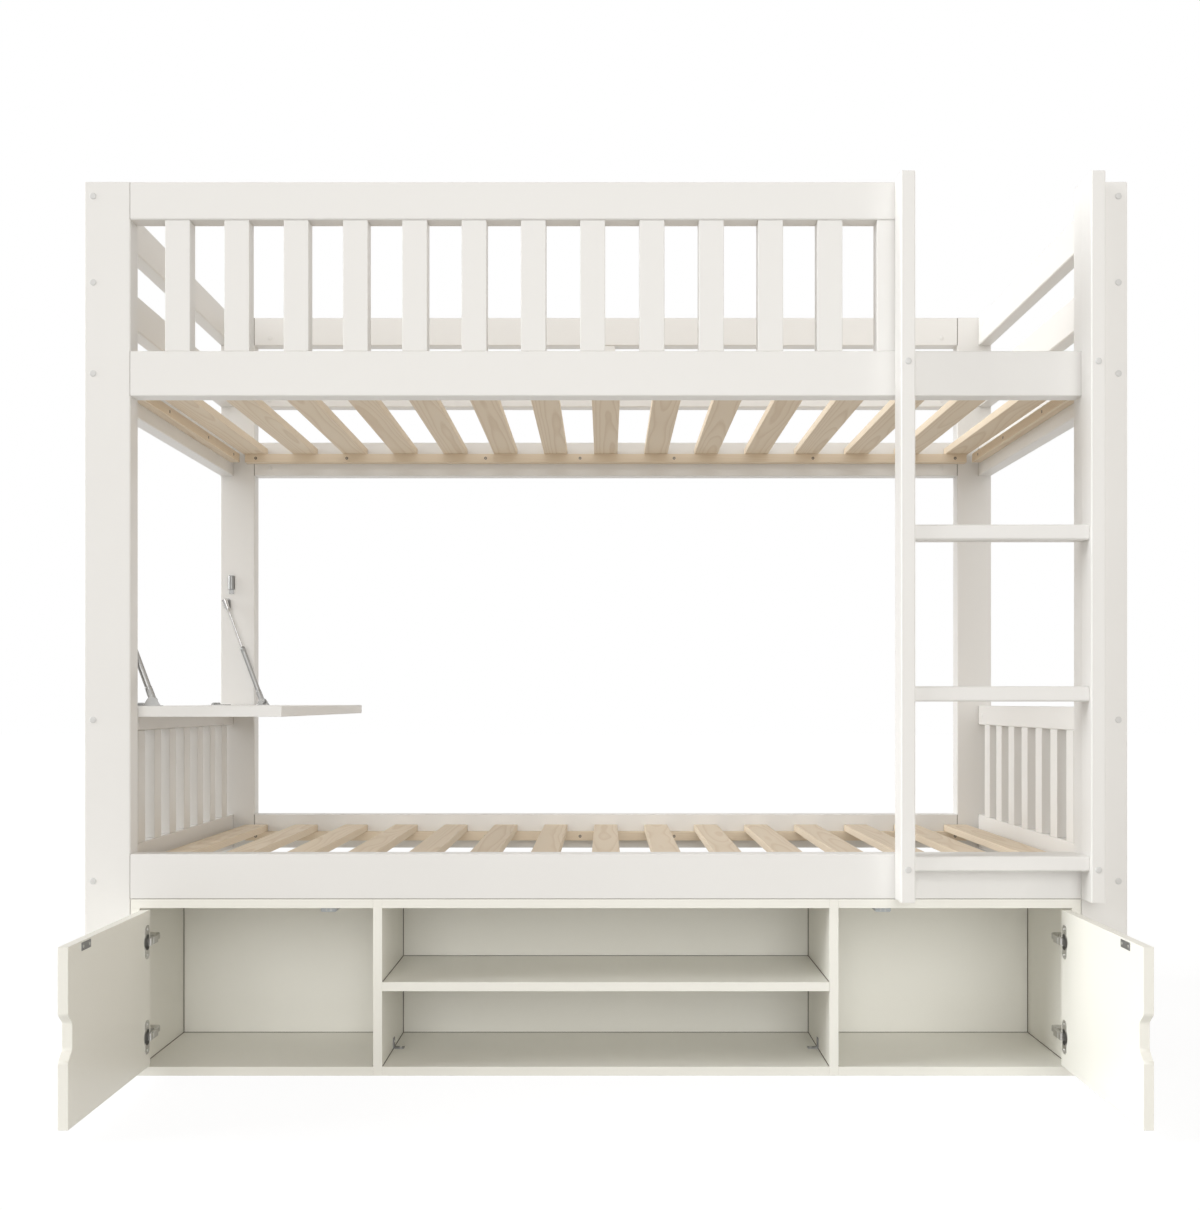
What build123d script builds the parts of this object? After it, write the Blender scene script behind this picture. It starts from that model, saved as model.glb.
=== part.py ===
from build123d import *
import math
import os

# Bunk bed with a bolted ladder, a cabinet under the lower bed and a fold-up desk.
# Millimetres. X runs along the bed, Y from front to back, Z up from the floor.

# Room inside the bed for the mattresses, and the members round it.
clear_length = 2010.0
clear_width = 1012.0
end_rail_thick = 35.0
rail_thick = 45.0
rail_height = 90.0
rail_ease = 2.0

# Four posts stand on the floor at the corners.
post_width = 92.0
post_depth = 50.0
post_height = 1782.0

# Heights of the lower edges of the rails.
cabinet_height = 352.0
lower_rail_z = cabinet_height
upper_rail_z = 1355.0
guard_top_height = 75.0
guard_mid_height = 75.0
guard_gap = 91.0
panel_top_height = 51.0
panel_top_z = 684.0
panel_bar_count = 8
panel_bar_width = 50.0
panel_bar_thick = 30.0

# Guard along the front of the upper bed.
guard_slat_count = 13
guard_slat_width = 50.0
guard_slat_thick = 40.0
guard_end_margin = 9.5
guard_end_behind_stile = 4.0
back_upright_width = 50.0

# Ledgers and slats that carry the mattresses.
ledger_height = 23.0
ledger_depth = 28.0
end_ledger_depth = 24.0
ledger_end_gap = 3.0
ledger_over_post = 19.0
upper_ledger_drop = 35.0
lower_ledger_drop = 45.0
slat_count = 15
slat_width = 62.0
slat_thick = 18.0
slat_end_gap = 2.0
slat_side_margin = 32.0

# Ladder, bolted to the front of the right half.
stile_width = 28.0
stile_depth = 65.0
stile_foot = 353.0
ladder_past_post = 27.0
ladder_width = 399.0
rung_height = 30.0
rung_depth = 53.0
rung_tops = (443.0, 776.0, 1093.0)
rung_ease = 3.0
ladder_bolt_heights = (417.5, 1410.0)
ladder_bolt_grip = 35.0

# Bolts, cross nuts and caps. They repeat so often that their rounds have few sides.
bolt_sides = 6
cap_sides = 8
round_sides = 16
bolt_r = 3.0
bolt_hole_r = 3.3
bolt_head_r = 4.8
bolt_recess_r = 5.2
bolt_recess_depth = 10.0
bolt_past_nut = 8.0
nut_r = 5.0
nut_hole_r = 5.15
nut_length = 20.0
nut_end_clear = 0.5
nut_bore_r = 3.06
nut_setback = 42.0
cap_r = 6.5
cap_proud = 1.5
under_cap = 3.2
end_bolt_from_edge = 18.0
end_bolt_off_mid = {"lower": -9.0, "panel": 0.0, "upper": 0.0, "guard_mid": 3.0, "guard_top": 9.0}
long_bolt_off_mid = {"lower": -24.0, "upper": -24.0, "guard_mid": -20.0, "guard_top": -18.0}

# Cabinet of plain boards under the lower bed.
board = 18.0
cabinet_side_gap = 1.0
cabinet_depth = 312.0
cabinet_back_thick = 6.0
bay_width = 483.0
shelf_z = 168.5
bracket_leg = 22.0
bracket_width = 15.0
bracket_thick = 2.0

# Doors, open at a right angle.
door_gap = 3.0
door_free_gap = 5.0
door_thick = 18.0
notch_depth = 20.0
notch_mouth = 80.0
notch_floor = 47.0
notch_round = 8.0
strike_length = 45.0
strike_height = 14.0
strike_thick = 1.2
strike_from_hinge = 370.0
strike_below_top = 3.0
catch_width = 32.0
catch_height = 10.0
catch_depth = 34.0
catch_gap = 0.3

# Concealed cup hinges, two to a door.
hinge_inset = 61.0
cup_r = 17.5
cup_sides = 16
cup_depth = 12.0
cup_wall = 1.5
cup_clear = 0.1
cup_from_edge = 22.0
flange_height = 66.0
flange_width = 24.0
flange_thick = 1.5
knuckle_near = 3.5
knuckle_far = 22.0
knuckle_proud = 8.0
link_height = 14.0
link_clear = 0.5
link_thick = 6.0
link_length = 31.0
link_gap = 0.5
arm_length = 34.0
arm_clear = 0.4
wing_height = 48.0
wing_length = 26.0
wing_thick = 2.0

# Desk, hinged on the left end panel.
desk_reach = 345.0
desk_thick = 22.0
desk_side_gap = 3.0
desk_rail_gap = 2.0
desk_top_z = 737.0
desk_ease = 2.0
butt_leaf_thick = 2.0
butt_leaf_width = 26.0
butt_length = 64.0
butt_pin_r = 1.5
butt_bore_r = 1.56
butt_knuckle_r = 3.2
butt_clear = 0.3
butt_spacing = 640.0

# Gas struts that hold the desk, one at each post.
strut_from_post = 19.0
strut_foot_x = 80.0
strut_foot_rise = 11.0
strut_post_x = -1020.0
strut_post_z = 1010.0
tube_r = 6.5
tube_bore_r = 4.9
tube_top = 151.0
tube_floor = 26.0
gland_length = 8.0
rod_r = 3.0
rod_bore_r = 3.06
piston_r = 4.82
piston_length = 8.0
piston_below_top = 24.0
socket_r = 8.0
socket_neck_r = 5.5
socket_above = 11.0
socket_below = 17.0
stud_r = 4.0
stud_clear = 0.4
stud_plate_width = 16.0
stud_plate_height = 28.0
stud_plate_thick = 2.0
stud_plate_corner = 4.0
eye_r = 7.5
eye_half_width = 7.0
collar_top = 24.0
eye_bore_r = 3.08
eye_pin_r = 3.0
ear_thick = 2.5
ear_base = 36.0
ear_top = 14.0
ear_foot_depth = 18.0

# Catches that hold the folded desk against the posts.
desk_catch_height = 50.0
desk_catch_width = 19.0
desk_catch_proud = 9.5
desk_catch_z = 1037.0
desk_catch_gap = 0.3

# Places worked out from the sizes above.
half_length = clear_length / 2 + end_rail_thick
post_inner = half_length - post_width
front_depth = rail_thick + clear_width
frame_depth = front_depth + post_depth
post_gap = front_depth - post_depth
guard_top_z = post_height - guard_top_height
guard_mid_z = guard_top_z - guard_gap - guard_mid_height
upper_rail_top = upper_rail_z + rail_height
lower_rail_top = lower_rail_z + rail_height
ladder_right = post_inner + ladder_past_post
ladder_left = ladder_right - ladder_width
guard_end = ladder_left + stile_width - guard_end_behind_stile
cabinet_half = post_inner - cabinet_side_gap
divider_outer = cabinet_half - bay_width
side_inner = cabinet_half - board
door_hinge_x = side_inner - door_gap
door_width = door_hinge_x - divider_outer - door_free_gap
door_z = board + door_gap
door_height = cabinet_height - 2 * door_z
hinge_heights = (door_z + hinge_inset, door_z + door_height - hinge_inset)

# The origin lies under the middle of the whole object, with its doors open.
front_y = (door_width - frame_depth - cap_proud) / 2


def slab(x, y, z):
    """A square-edged block between two values along each axis, Y from the front plane."""
    size = (x[1] - x[0], y[1] - y[0], z[1] - z[0])
    middle = ((x[0] + x[1]) / 2, front_y + (y[0] + y[1]) / 2, (z[0] + z[1]) / 2)
    return Pos(*middle) * Box(*size)


def bar(x, y, z, along, ease):
    """A planed bar with its four long edges eased by a small chamfer."""
    piece = slab(x, y, z)
    return chamfer(piece.edges().filter_by(along), ease)


def round_section(radius):
    """The section of a round of metal, with flats that keep it light."""
    return RegularPolygon(radius, round_sides)


def prism(radius, low, high):
    """A stretch of round metal between two distances along Z."""
    return Pos(0, 0, low) * extrude(round_section(radius), high - low)


def rod_y(x, z, y, radius):
    """A round bar along Y between two values of Y."""
    spot = Plane((x, front_y + y[0], z), x_dir=(1, 0, 0), z_dir=(0, 1, 0))
    return spot * prism(radius, 0, y[1] - y[0])


def mirror_x(piece):
    return mirror(piece, about=Plane.YZ)


def both_sides(piece):
    return [piece, mirror_x(piece)]


def mirror_depth(piece):
    """The twin of a piece at the other post, front for back."""
    middle = Plane((0, front_y + frame_depth / 2, 0), z_dir=(0, 1, 0))
    return mirror(piece, about=middle)


def save(name, *pieces):
    """Writes one node: each separate solid of the pieces."""
    solids = [solid for piece in pieces for solid in piece.solids()]
    node = solids[0] if len(solids) == 1 else Compound(children=solids)
    node.label = name
    export_step(node, f"parts/{name}.step")


# The bolts that pull the end rails to the posts run along Y, one in each rail end.
end_bolt_x = half_length - end_bolt_from_edge
member_middles = {
    "lower": lower_rail_z + rail_height / 2,
    "panel": panel_top_z + panel_top_height / 2,
    "upper": upper_rail_z + rail_height / 2,
    "guard_mid": guard_mid_z + guard_mid_height / 2,
    "guard_top": guard_top_z + guard_top_height / 2,
}
end_bolt_heights = {level: member_middles[level] + off for level, off in end_bolt_off_mid.items()}

# The bolts that pull the long rails to the posts run along X.
long_bolt_y = {"front": rail_thick / 2, "back": front_depth + rail_thick / 2}
long_bolt_heights = {level: member_middles[level] + off for level, off in long_bolt_off_mid.items()}
ladder_bolt_x = (ladder_left + stile_width / 2, ladder_right - stile_width / 2)


def bolt_section(radius):
    return RegularPolygon(radius, bolt_sides)


def bolt(reach):
    """A bolt along +Z: its head lies under the cap, and its tip at the reach."""
    head = Pos(0, 0, under_cap) * extrude(bolt_section(bolt_head_r), bolt_recess_depth - under_cap)
    shank = Pos(0, 0, under_cap) * extrude(bolt_section(bolt_r), reach - under_cap)
    return head + shank


def cap():
    """A flat cap that covers the bolt's recess. It stands below z = 0."""
    return Pos(0, 0, -cap_proud) * extrude(RegularPolygon(cap_r, cap_sides), cap_proud)


def cross_nut():
    """A nut along X, across its bolt, with its bolt hole along Z."""
    body = Pos(-nut_length / 2, 0, 0) * (Rot(0, 90, 0) * extrude(nut_section(nut_r), nut_length))
    return body - extrude(bolt_section(nut_bore_r), nut_r, both=True)


def nut_section(radius):
    """A section with two flats square to the bolt."""
    return Rot(0, 0, 180 / bolt_sides) * RegularPolygon(radius, bolt_sides)


# Each joint is a plane on the outer face, Z into the wood, with its bolt's reach.
def end_joints():
    """Joints of the end rails: plane, depth of the post, direction of the nut."""
    for height in end_bolt_heights.values():
        for side in (-1, 1):
            x = side * end_bolt_x
            front = Plane((x, front_y, height), x_dir=(-side, 0, 0), z_dir=(0, 1, 0))
            back_y = front_y + frame_depth
            back = Plane((x, back_y, height), x_dir=(-side, 0, 0), z_dir=(0, -1, 0))
            yield front
            yield back


def long_joints():
    """Joints of the long rails: a plane on the post's outer face."""
    spots = [("lower", "front"), ("lower", "back"), ("upper", "front"), ("upper", "back")]
    spots += [("guard_mid", "back"), ("guard_top", "back")]
    for level, row in spots:
        for side in (-1, 1):
            yield long_joint(level, row, side)
    yield long_joint("guard_top", "front", -1)


def long_joint(level, row, side):
    y = front_y + long_bolt_y[row]
    inward = 1 if row == "front" else -1
    point = (side * half_length, y, long_bolt_heights[level])
    return Plane(point, x_dir=(0, inward, 0), z_dir=(-side, 0, 0))


def ladder_joints():
    for x in ladder_bolt_x:
        for height in ladder_bolt_heights:
            point = (x, front_y - stile_depth, height)
            yield Plane(point, x_dir=(1, 0, 0), z_dir=(0, 1, 0))


def bolt_tool(joint, through):
    """What is bored for one bolt: its recess and its shank hole."""
    recess = extrude(bolt_section(bolt_recess_r), bolt_recess_depth)
    shank = extrude(bolt_section(bolt_hole_r), through)
    return joint * (recess + shank)


def nut_tool(joint, post, nut_face):
    """The hole for a cross nut, bored from the face that the nut goes in by."""
    reach = nut_face + nut_length / 2 + nut_end_clear
    hole = Rot(0, -90, 0) * extrude(nut_section(nut_hole_r), reach)
    return joint * (Pos(nut_face, 0, post + nut_setback) * hole)


end_nut_face = end_bolt_x - clear_length / 2
long_nut_face = rail_thick / 2
end_reach = post_depth + nut_setback + bolt_past_nut
long_reach = post_width + nut_setback + bolt_past_nut
ladder_reach = stile_depth + ladder_bolt_grip

end_tools = [bolt_tool(j, end_reach + 1) + nut_tool(j, post_depth, end_nut_face) for j in end_joints()]
long_tools = [bolt_tool(j, long_reach + 1) + nut_tool(j, post_width, long_nut_face) for j in long_joints()]
ladder_tools = [bolt_tool(j, ladder_reach + 1) for j in ladder_joints()]
bores = end_tools + long_tools + ladder_tools


def bored(piece):
    """The piece with each bolt and nut hole that reaches it."""
    own = piece.bounding_box()
    near = [tool for tool in bores if overlaps(own, tool.bounding_box())]
    return piece - near if near else piece


def overlaps(a, b):
    pairs = ((a.min.X, a.max.X, b.min.X, b.max.X), (a.min.Y, a.max.Y, b.min.Y, b.max.Y))
    pairs += ((a.min.Z, a.max.Z, b.min.Z, b.max.Z),)
    return all(low_a < high_b and low_b < high_a for low_a, high_a, low_b, high_b in pairs)


def posts():
    for name, side in (("left", -1), ("right", 1)):
        x = sorted((side * post_inner, side * half_length))
        for row, y0 in (("front", 0.0), ("back", front_depth)):
            post = bar(x, (y0, y0 + post_depth), (0, post_height), Axis.Z, rail_ease)
            save(f"post_{row}_{name}", bored(post))


ledger_levels = {
    "upper": upper_rail_top - upper_ledger_drop,
    "lower": lower_rail_top - lower_ledger_drop,
}


def long_rails():
    for level, z0 in (("lower", lower_rail_z), ("upper", upper_rail_z)):
        for row, y0 in (("front", 0.0), ("back", front_depth)):
            x = (-post_inner, post_inner)
            rail = bar(x, (y0, y0 + rail_thick), (z0, z0 + rail_height), Axis.X, rail_ease)
            save(f"{level}_rail_{row}", bored(rail))


def end_member(side, z0, height):
    """A rail across one end of the bed, between its two posts."""
    x = sorted((side * clear_length / 2, side * half_length))
    piece = bar(x, (post_depth, front_depth), (z0, z0 + height), Axis.Y, rail_ease)
    return bored(piece)


def end_rails():
    for name, side in (("left", -1), ("right", 1)):
        save(f"upper_end_rail_{name}", end_member(side, upper_rail_z, rail_height))
        save(f"lower_end_rail_{name}", end_member(side, lower_rail_z, rail_height))
        top = end_member(side, guard_top_z, guard_top_height)
        middle = end_member(side, guard_mid_z, guard_mid_height)
        save(f"end_guard_rails_{name}", top, middle)


def lower_panels():
    tops = [end_member(side, panel_top_z, panel_top_height) for side in (-1, 1)]
    save("end_panel_top_rails", *tops)
    gap = (post_gap - panel_bar_count * panel_bar_width) / (panel_bar_count + 1)
    inner = clear_length / 2
    for name, side in (("left", -1), ("right", 1)):
        x = sorted((side * inner, side * (inner + panel_bar_thick)))
        bars = []
        for i in range(panel_bar_count):
            y = post_depth + gap + i * (gap + panel_bar_width)
            bars.append(slab(x, (y, y + panel_bar_width), (lower_rail_top, panel_top_z)))
        save(f"end_panel_bars_{name}", *bars)


def front_guard():
    top = bar((-post_inner, guard_end), (0, rail_thick), (guard_top_z, post_height), Axis.X, rail_ease)
    save("guard_top_rail_front", bored(top))
    pitch = (guard_end + post_inner - guard_end_margin) / guard_slat_count
    inset = (rail_thick - guard_slat_thick) / 2
    slats = []
    for i in range(guard_slat_count):
        right = -post_inner + (i + 1) * pitch
        x = (right - guard_slat_width, right)
        slats.append(slab(x, (inset, rail_thick - inset), (upper_rail_top, guard_top_z)))
    save("guard_slats_front", *slats)


def back_guard():
    y = (front_depth, front_depth + rail_thick)
    x = (-post_inner, post_inner)
    top = bar(x, y, (guard_top_z, post_height), Axis.X, rail_ease)
    middle = bar(x, y, (guard_mid_z, guard_mid_z + guard_mid_height), Axis.X, rail_ease)
    save("guard_rails_back", bored(top), bored(middle))
    inset = (rail_thick - guard_slat_thick) / 2
    y = (front_depth + inset, front_depth + rail_thick - inset)
    x = (-back_upright_width / 2, back_upright_width / 2)
    high = slab(x, y, (guard_mid_z + guard_mid_height, guard_top_z))
    low = slab(x, y, (upper_rail_top, guard_mid_z))
    save("guard_uprights_back", high, low)


def ledgers(level):
    """Four ledgers round a bed, on the rails' inner faces."""
    top = ledger_levels[level]
    z = (top - ledger_height, top)
    front_end = post_inner - ledger_end_gap
    back_end = post_inner + ledger_over_post
    front = slab((-front_end, front_end), (rail_thick, rail_thick + ledger_depth), z)
    back = slab((-back_end, back_end), (front_depth - ledger_depth, front_depth), z)
    inner = clear_length / 2
    y = (rail_thick + ledger_depth + ledger_end_gap, front_depth - ledger_depth)
    end = slab((inner - end_ledger_depth, inner), y, z)
    save(f"{level}_ledgers", front, back, *both_sides(end))


def slats(level):
    """Cross slats at an even pitch on the ledgers."""
    z0 = ledger_levels[level]
    reach = clear_length / 2 - slat_side_margin - slat_width / 2
    pitch = 2 * reach / (slat_count - 1)
    y = (post_depth + slat_end_gap, front_depth - slat_end_gap)
    boards = []
    for i in range(slat_count):
        x = -reach + i * pitch
        boards.append(slab((x - slat_width / 2, x + slat_width / 2), y, (z0, z0 + slat_thick)))
    save(f"{level}_slats", *boards)


def ladder():
    inner_left = ladder_left + stile_width
    inner_right = ladder_right - stile_width
    for name, x0 in (("left", ladder_left), ("right", inner_right)):
        stile = bar((x0, x0 + stile_width), (-stile_depth, 0), (stile_foot, post_height), Axis.Z, rail_ease)
        save(f"ladder_stile_{name}", bored(stile))
    rungs = []
    for top in rung_tops:
        rung = bar((inner_left, inner_right), (-rung_depth, 0), (top - rung_height, top), Axis.X, rung_ease)
        rungs.append(rung)
    save("ladder_rungs", *rungs)


def cabinet():
    y = (0, cabinet_depth)
    side = slab((-cabinet_half, -side_inner), y, (board, cabinet_height - board))
    save("cabinet_sides", *both_sides(side))
    divider_inner = divider_outer - board
    divider = slab((-divider_outer, -divider_inner), y, (0, cabinet_height))
    save("cabinet_divider_left", divider)
    save("cabinet_divider_right", mirror_x(divider))
    for name, z0 in (("top", cabinet_height - board), ("bottom", 0.0)):
        wing = slab((-cabinet_half, -divider_outer), y, (z0, z0 + board))
        middle = slab((-divider_inner, divider_inner), y, (z0, z0 + board))
        save(f"cabinet_{name}_panels", middle, *both_sides(wing))
    save("cabinet_shelf", slab((-divider_inner, divider_inner), y, (shelf_z, shelf_z + board)))
    back_y = (cabinet_depth, cabinet_depth + cabinet_back_thick)
    save("cabinet_back", slab((-cabinet_half, cabinet_half), back_y, (0, cabinet_height)))
    save("cabinet_corner_brackets", *both_sides(corner_bracket(-divider_inner)))


def corner_bracket(x):
    """A bent steel angle between a divider and the bottom panel."""
    y = (cabinet_depth / 2, cabinet_depth / 2 + bracket_width)
    foot = slab((x, x + bracket_leg), y, (board, board + bracket_thick))
    upright = slab((x, x + bracket_thick), y, (board, board + bracket_leg))
    bent = foot + upright
    inside = (x + bracket_thick, front_y + y[0], board + bracket_thick)
    corner = bent.edges().filter_by(Axis.Y).sort_by_distance(inside)[0]
    return chamfer(corner, bracket_thick)


def door_face():
    """The door's outline: u from the hinge edge, w up, with the finger notch."""
    middle = door_height / 2
    mouth = notch_mouth / 2
    floor = notch_floor / 2
    deep = door_width - notch_depth
    outline = [(0, 0), (door_width, 0), (door_width, middle - mouth), (deep, middle - floor)]
    outline += [(deep, middle + floor), (door_width, middle + mouth)]
    outline += [(door_width, door_height), (0, door_height)]
    face = make_face(Polyline(*outline, close=True))
    corners = [v for v in face.vertices() if abs(v.Y - middle) < mouth + 1 and v.X > deep - 1]
    return fillet(corners, notch_round)


def door_place():
    """The open left door: u runs to the front, w up, and thickness to the middle."""
    corner = (-door_hinge_x, front_y, door_z)
    return Plane(corner, x_dir=(0, -1, 0), z_dir=(1, 0, 0))


def on_door(u, w, v):
    """A block on the door, by its span from the hinge edge, in height and in depth."""
    x = (-door_hinge_x + v[0], -door_hinge_x + v[1])
    return slab(x, (-u[1], -u[0]), w)


def door():
    panel = door_place() * extrude(door_outline(), door_thick)
    for height in hinge_heights:
        panel -= cup_plane(height) * extrude(cup_section(cup_r), cup_depth + cup_clear)
    return panel


def door_outline():
    """The face in the door's plane, where height runs against the plane's Y."""
    return mirror(door_face(), about=Plane.XZ)


def cup_section(radius):
    return RegularPolygon(radius, cup_sides)


def cup_plane(height):
    """The cup's place on the door's inner face, with Z into the door."""
    middle = (-door_hinge_x + door_thick, front_y - cup_from_edge, height)
    return Plane(middle, x_dir=(0, 1, 0), z_dir=(-1, 0, 0))


def hinge_cup(height):
    """The pressed cup in the door, its flange and the knuckle that the link meets."""
    cup = extrude(cup_section(cup_r - cup_clear), cup_depth)
    cup -= extrude(cup_section(cup_r - cup_wall), cup_depth - cup_wall)
    mouth = Pos(0, 0, -flange_thick) * extrude(cup_section(cup_r - cup_wall), flange_thick)
    flange = on_door(
        (cup_from_edge - flange_width / 2, cup_from_edge + flange_width / 2),
        (height - flange_height / 2, height + flange_height / 2),
        (door_thick, door_thick + flange_thick),
    )
    flange = chamfer(flange.edges().filter_by(Axis.X), flange_width / 4)
    knuckle = on_door(
        (knuckle_near, knuckle_far),
        (height - link_height / 2, height + link_height / 2),
        (door_thick, door_thick + knuckle_proud),
    )
    knuckle = chamfer(knuckle.edges().filter_by(Axis.Z).group_by(Axis.X)[-1], knuckle_proud / 4)
    spot = cup_plane(height)
    return spot * cup + (flange - spot * mouth) + knuckle


def doors():
    strike_top = door_z + door_height - strike_below_top
    strike = on_door(
        (strike_from_hinge - strike_length / 2, strike_from_hinge + strike_length / 2),
        (strike_top - strike_height, strike_top),
        (door_thick, door_thick + strike_thick),
    )
    cups = [hinge_cup(height) for height in hinge_heights]
    leaf = door()
    save("door_left", leaf)
    save("door_right", mirror_x(leaf))
    save("door_strike_left", strike)
    save("door_strike_right", mirror_x(strike))
    save("hinge_cups_left", *cups)
    save("hinge_cups_right", *[mirror_x(cup) for cup in cups])


def hinge_links():
    """The short links that slide in past the arms as a door closes."""
    x0 = -door_hinge_x + door_thick + flange_thick + link_clear
    link_front = link_gap - knuckle_near
    links = []
    for height in hinge_heights:
        z = (height - link_height / 2, height + link_height / 2)
        link = slab((x0, x0 + link_thick), (link_front, link_front + link_length), z)
        links.append(chamfer(link.edges().filter_by(Axis.Z), link_thick / 4))
    save("hinge_links_left", *links)
    save("hinge_links_right", *[mirror_x(link) for link in links])


def hinge_arms():
    """Mounting plates on the cabinet's side panels, with the hinge arms on them."""
    arm_front = door_thick + knuckle_proud + link_clear
    arm_face = -door_hinge_x + door_thick + flange_thick + link_clear - arm_clear
    arms = []
    for height in hinge_heights:
        z = (height - link_height / 2, height + link_height / 2)
        arm = slab((-side_inner + wing_thick, arm_face), (arm_front, arm_front + arm_length), z)
        arm = chamfer(arm.edges().filter_by(Axis.Y).group_by(Axis.X)[-1], link_thick / 3)
        wing = slab(
            (-side_inner, -side_inner + wing_thick),
            (arm_front + 4, arm_front + 4 + wing_length),
            (height - wing_height / 2, height + wing_height / 2),
        )
        wing = chamfer(wing.edges().filter_by(Axis.X), wing_length / 4)
        arms.append(arm + wing)
    save("hinge_arms", *arms, *[mirror_x(arm) for arm in arms])


def door_catches():
    """Magnetic catches under the top panels, just behind the closed doors."""
    x = -door_hinge_x + strike_from_hinge
    y0 = door_thick + strike_thick + catch_gap
    top = cabinet_height - board
    width = (x - catch_width / 2, x + catch_width / 2)
    body = slab(width, (y0, y0 + catch_depth), (top - catch_height, top))
    body = chamfer(body.edges().filter_by(Axis.Y).group_by(Axis.Z)[0], catch_height / 4)
    save("door_catches", *both_sides(body))


# The desk turns about the pins of its butt hinges.
desk_edge = -clear_length / 2 + desk_rail_gap
desk_axis_x = desk_edge - butt_clear
desk_axis_z = desk_top_z + butt_knuckle_r + butt_clear
desk_y = (post_depth + desk_side_gap, front_depth - desk_side_gap)
butt_middles = [frame_depth / 2 + side * butt_spacing / 2 for side in (-1, 1)]


def desk():
    panel = slab((desk_edge, desk_edge + desk_reach), desk_y, (desk_top_z - desk_thick, desk_top_z))
    free_edge = panel.edges().filter_by(Axis.Y).group_by(Axis.X)[-1]
    save("desk_panel", fillet(free_edge, desk_ease))
    fixed = []
    moving = []
    for middle in butt_middles:
        fixed.append(butt_leaf(middle, -1))
        moving.append(butt_leaf(middle, 1))
        pin_y = (middle - butt_length / 2, middle + butt_length / 2)
        fixed.append(rod_y(desk_axis_x, desk_axis_z, pin_y, butt_pin_r))
    save("desk_hinge_fixed_leaves", *fixed)
    save("desk_hinge_moving_leaves", *moving)


def butt_leaf(middle, side):
    """One leaf of a butt hinge, with two outer knuckles or one between them."""
    rail_top = panel_top_z + panel_top_height
    low = desk_top_z if side > 0 else rail_top
    edge = desk_axis_x + side * (butt_knuckle_r + butt_clear)
    x = sorted((edge, edge + side * butt_leaf_width))
    plate = slab(x, (middle - butt_length / 2, middle + butt_length / 2), (low, low + butt_leaf_thick))
    third = butt_length / 3
    ends = [(-butt_length / 2, -third / 2), (third / 2, butt_length / 2)]
    if side > 0:
        ends = [(-third / 2, third / 2)]
    leaf = plate
    for a, b in ends:
        a = middle + a + butt_clear * (1 if a > -butt_length / 2 else 0)
        b = middle + b - butt_clear * (1 if b < butt_length / 2 else 0)
        strap_x = sorted((desk_axis_x, edge + side * 1.0))
        strap = slab(strap_x, (a, b), (low + (0 if side < 0 else butt_clear), desk_axis_z))
        knuckle = rod_y(desk_axis_x, desk_axis_z, (a, b), butt_knuckle_r)
        leaf += knuckle + strap
    return leaf - rod_y(desk_axis_x, desk_axis_z, (middle - butt_length, middle + butt_length), butt_bore_r)


# Gas struts: a tube turns on the desk's bracket, and its rod ends at the post's stud.
foot_x = desk_edge + strut_foot_x
foot_z = desk_top_z + strut_foot_rise
strut_length = math.hypot(foot_x - strut_post_x, strut_post_z - foot_z)
strut_y = front_depth - strut_from_post


def strut_axis():
    """The open strut's line from the desk's pivot to the post's, in the plane beside the back post."""
    along = (strut_post_x - foot_x, 0, strut_post_z - foot_z)
    return Plane((foot_x, front_y + strut_y, foot_z), x_dir=(0, 1, 0), z_dir=along)


def strut_tube():
    tube = prism(tube_r, eye_r, tube_top)
    cylinder = prism(tube_bore_r, tube_floor, tube_top - gland_length)
    gland = prism(rod_bore_r, tube_top - gland_length, tube_top)
    across = Rot(0, 90, 0)
    eye = across * prism(eye_r, -eye_half_width, eye_half_width)
    collar = prism(eye_r, 0, collar_top) & Box(2 * eye_half_width, 2 * eye_r, 2 * collar_top)
    bore = across * prism(eye_bore_r, -2 * eye_r, 2 * eye_r)
    return strut_axis() * (tube + eye + collar - cylinder - gland - bore)


def strut_rod():
    """The piston, the rod and the socket that takes the post's stud."""
    low = tube_top - piston_below_top
    socket_low = strut_length - socket_below
    neck = Pos(0, 0, socket_low) * round_section(socket_neck_r)
    mouth = Pos(0, 0, strut_length + socket_above) * round_section(socket_r)
    socket = loft(sections=[neck.face(), mouth.face()], ruled=True)
    piston = prism(piston_r, low - piston_length, low)
    return strut_axis() * (piston + prism(rod_r, low, socket_low) + socket)


def post_stud():
    """The stud on the post at the open pivot, a hair short of the rod's socket."""
    end = strut_y + socket_r + stud_clear
    plate_x = (strut_post_x - stud_plate_width / 2, strut_post_x + stud_plate_width / 2)
    plate_z = (strut_post_z - stud_plate_height / 2, strut_post_z + stud_plate_height / 2)
    plate = slab(plate_x, (front_depth - stud_plate_thick, front_depth), plate_z)
    plate = chamfer(plate.edges().filter_by(Axis.Y), stud_plate_corner)
    return plate + rod_y(strut_post_x, strut_post_z, (end, front_depth), stud_r)


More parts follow.
